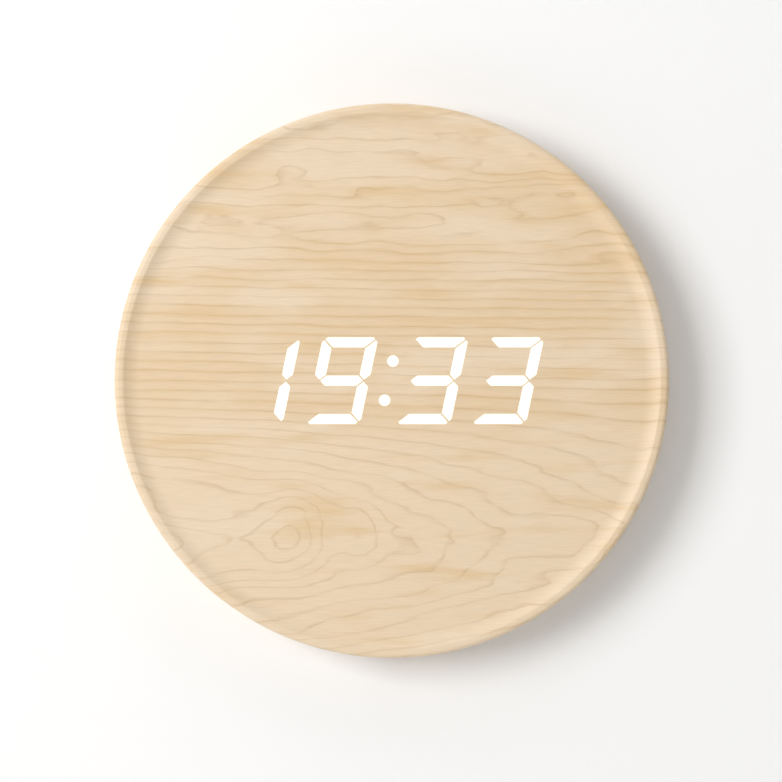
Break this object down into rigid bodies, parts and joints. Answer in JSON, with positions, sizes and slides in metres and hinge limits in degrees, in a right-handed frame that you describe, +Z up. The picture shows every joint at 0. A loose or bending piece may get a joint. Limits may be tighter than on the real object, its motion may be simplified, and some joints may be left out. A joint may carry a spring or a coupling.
{
  "type": "wall alarm clock",
  "caption": "Round wood-grain wall clock with a raised rim; lit seven-segment digits shine through the dial; keyhole, buttons and battery bay behind.",
  "frame": {"origin": "where the wall nail's shank bears in the hanger's keyhole slot, in the plane of the clock's wooden back", "axes": "+Z up as the clock hangs, the dial faces -Y, +Y points into the wall, +X to the right of someone who reads the dial"},
  "size_m": [0.25, 0.0315, 0.2501],
  "materials": {
    "fibreboard": "matte",
    "maple_film": "satin",
    "milky_sheet": "satin",
    "white_plastic": "satin",
    "circuit_board": "satin",
    "tin_plate": "satin",
    "chip_epoxy": "matte",
    "black_plastic": "matte",
    "ribbon": "satin",
    "red_wire": "satin",
    "black_wire": "satin",
    "zinc_steel": "satin",
    "cell_wrap": "gloss",
    "grey_rubber": "matte"
  },
  "bodies": {
    "case": {"wood_shell": "fibreboard", "grain_film": "maple_film", "diffuser_sheet": "milky_sheet", "segment_frame": "white_plastic", "led_board": "circuit_board", "main_board": "circuit_board", "clock_chip": "chip_epoxy", "quartz_crystal": "tin_plate", "capacitor": "chip_epoxy", "temperature_sensor": "chip_epoxy", "buzzer": "chip_epoxy", "microphone": "tin_plate", "power_socket": "tin_plate", "switch_set": "chip_epoxy", "switch_up": "chip_epoxy", "switch_down": "chip_epoxy", "ribbon_socket_display": "white_plastic", "ribbon_socket_main": "white_plastic", "display_ribbon": "ribbon", "back_cover": "black_plastic", "battery_lead_red": "red_wire", "battery_lead_black": "black_wire", "hanger_plate": "zinc_steel", "display_screw_1": "zinc_steel", "display_screw_2": "zinc_steel", "display_screw_3": "zinc_steel", "display_screw_4": "zinc_steel", "board_screw_1": "zinc_steel", "board_screw_2": "zinc_steel", "board_screw_3": "zinc_steel", "board_screw_4": "zinc_steel", "cover_screw_1": "zinc_steel", "cover_screw_2": "zinc_steel", "cover_screw_3": "zinc_steel", "cover_screw_4": "zinc_steel", "hanger_screw_left": "zinc_steel", "hanger_screw_right": "zinc_steel", "aaa_cell_1": "cell_wrap", "contact_plate_1": "tin_plate", "contact_spring_1": "tin_plate", "aaa_cell_2": "cell_wrap", "contact_plate_2": "tin_plate", "contact_spring_2": "tin_plate", "aaa_cell_3": "cell_wrap", "contact_plate_3": "tin_plate", "contact_spring_3": "tin_plate", "wall_pad_1": "grey_rubber", "wall_pad_2": "grey_rubber", "wall_pad_3": "grey_rubber", "wall_pad_4": "grey_rubber"},
    "button_set": {"button_set": "black_plastic", "switch_stem_set": "black_plastic"},
    "button_up": {"button_up": "black_plastic", "switch_stem_up": "black_plastic"},
    "button_down": {"button_down": "black_plastic", "switch_stem_down": "black_plastic"},
    "battery_door": {"battery_door": "black_plastic"}
  },
  "joints": [
    {"name": "press_set", "type": "slide", "parent": "case", "child": "button_set", "axis": [0, -1, 0], "range_m": [0, 0.0008], "stiffness_N_per_m": 1500},
    {"name": "press_up", "type": "slide", "parent": "case", "child": "button_up", "axis": [0, -1, 0], "range_m": [0, 0.0008], "stiffness_N_per_m": 1500},
    {"name": "press_down", "type": "slide", "parent": "case", "child": "button_down", "axis": [0, -1, 0], "range_m": [0, 0.0008], "stiffness_N_per_m": 1500},
    {"name": "battery_door_tilt", "type": "hinge", "parent": "case", "child": "battery_door", "pos_m": [0, -0.0005, -0.0415], "axis": [1, 0, 0], "range_deg": [0, 75]}
  ]
}
